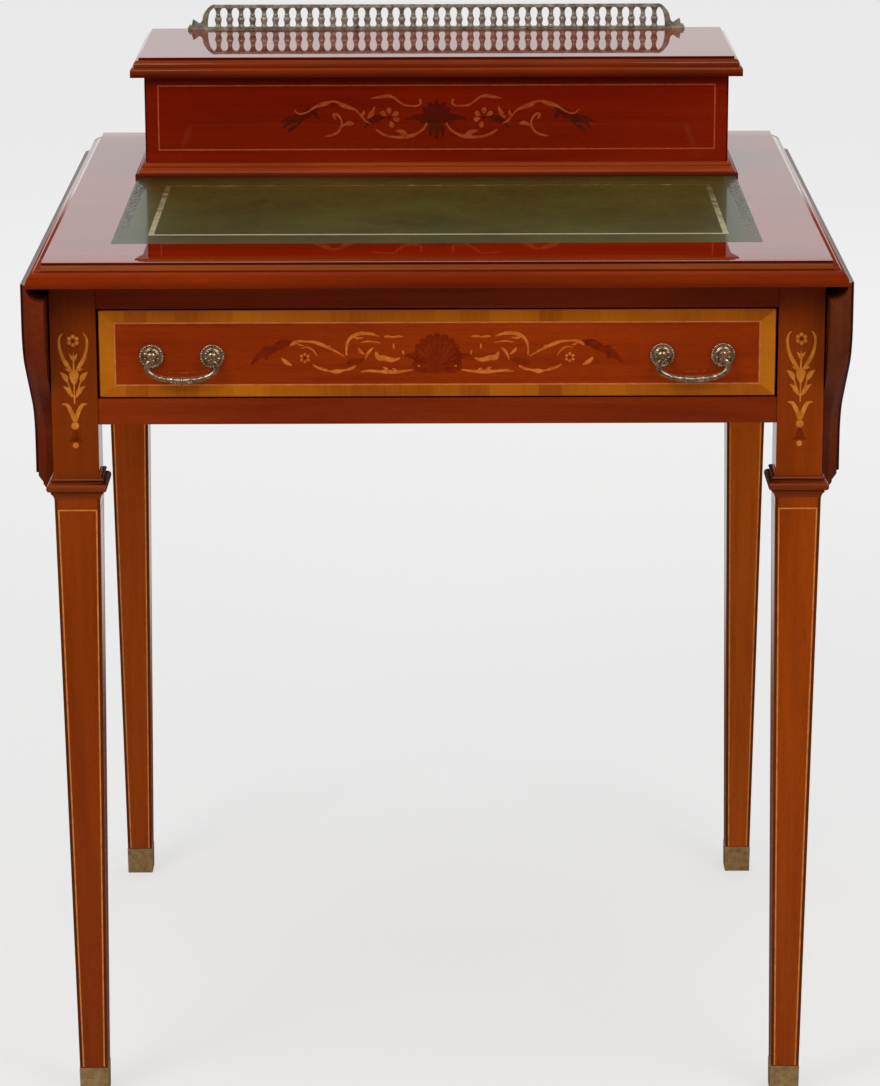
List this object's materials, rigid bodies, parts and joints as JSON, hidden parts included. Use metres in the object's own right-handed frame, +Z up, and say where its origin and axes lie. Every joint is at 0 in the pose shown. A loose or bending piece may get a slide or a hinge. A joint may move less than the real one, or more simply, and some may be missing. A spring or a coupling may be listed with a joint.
{
  "type": "bonheur du jour",
  "caption": "Lady's drop-leaf writing desk with tapered legs, frieze drawer, leather writing surface, rule-jointed side leaves and a galleried stationery box with a lift-up lid.",
  "frame": {"origin": "on the floor under the middle of the table top", "axes": "+Z up, +Y from the drawer front to the back, +X to the right of someone facing the drawer"},
  "size_m": [0.696, 0.674, 0.8955],
  "materials": {
    "mahogany": "French polished",
    "secondary_wood": "waxed",
    "brass": "antique",
    "steel": "plain",
    "leather": "tooled and polished"
  },
  "bodies": {
    "table": {"back_apron": "mahogany", "base_moulding": "mahogany", "box_back": "mahogany", "box_floor": "secondary_wood", "box_front": "mahogany", "box_side_left": "mahogany", "box_side_right": "mahogany", "bracket_pin_left": "steel", "bracket_pin_right": "steel", "bracket_rails_left": "secondary_wood", "bracket_rails_right": "secondary_wood", "collar_back_left": "mahogany", "collar_back_right": "mahogany", "collar_front_left": "mahogany", "collar_front_right": "mahogany", "drawer_kickers": "secondary_wood", "drawer_runner_left": "secondary_wood", "drawer_runner_right": "secondary_wood", "drawer_stops": "secondary_wood", "foot_caps": "brass", "front_bottom_rail": "mahogany", "front_top_rail": "mahogany", "hinge_pins_left": "steel", "hinge_pins_right": "steel", "hinge_top_plates_left": "steel", "hinge_top_plates_right": "steel", "leaf_bracket_left": "secondary_wood", "leaf_bracket_right": "secondary_wood", "leg_back_left": "mahogany", "leg_back_right": "mahogany", "leg_front_left": "mahogany", "leg_front_right": "mahogany", "letter_dividers": "secondary_wood", "lid_hinge_box_plates": "brass", "lid_hinge_pins": "brass", "side_apron_left": "secondary_wood", "side_apron_right": "secondary_wood", "table_top": "mahogany", "writing_leather": "leather"},
    "drawer": {"drawer_front": "mahogany", "drawer_side_left": "secondary_wood", "drawer_side_right": "secondary_wood", "drawer_back": "secondary_wood", "drawer_bottom": "secondary_wood", "handle_rosettes": "brass", "handle_posts": "brass", "handle_nuts": "steel"},
    "bail_left": {"bail_left": "brass"},
    "bail_right": {"bail_right": "brass"},
    "leaf_left": {"leaf_left": "mahogany", "hinge_leaf_plates_left": "steel"},
    "leaf_right": {"leaf_right": "mahogany", "hinge_leaf_plates_right": "steel"},
    "lid": {"lid_board": "mahogany", "lid_hinge_lid_plates": "brass", "gallery_base": "brass", "gallery_balusters": "brass", "gallery_rail": "brass"}
  },
  "joints": [
    {"name": "drawer_slide", "type": "slide", "parent": "table", "child": "drawer", "axis": [0, -1, 0], "range_m": [0, 0.33]},
    {"name": "bail_left_swing", "type": "hinge", "parent": "drawer", "child": "bail_left", "pos_m": [-0.2155, -0.3135, 0.67525], "axis": [-1, 0, 0], "range_deg": [0, 95]},
    {"name": "bail_right_swing", "type": "hinge", "parent": "drawer", "child": "bail_right", "pos_m": [0.2155, -0.3135, 0.67525], "axis": [-1, 0, 0], "range_deg": [0, 95]},
    {"name": "leaf_left_fold", "type": "hinge", "parent": "table", "child": "leaf_left", "pos_m": [-0.33, 0, 0.742], "axis": [0, 1, 0], "range_deg": [0, 90]},
    {"name": "leaf_right_fold", "type": "hinge", "parent": "table", "child": "leaf_right", "pos_m": [0.33, 0, 0.742], "axis": [0, -1, 0], "range_deg": [0, 90]},
    {"name": "lid_lift", "type": "hinge", "parent": "table", "child": "lid", "pos_m": [0, 0.2678, 0.85365], "axis": [-1, 0, 0], "range_deg": [0, 95]}
  ]
}
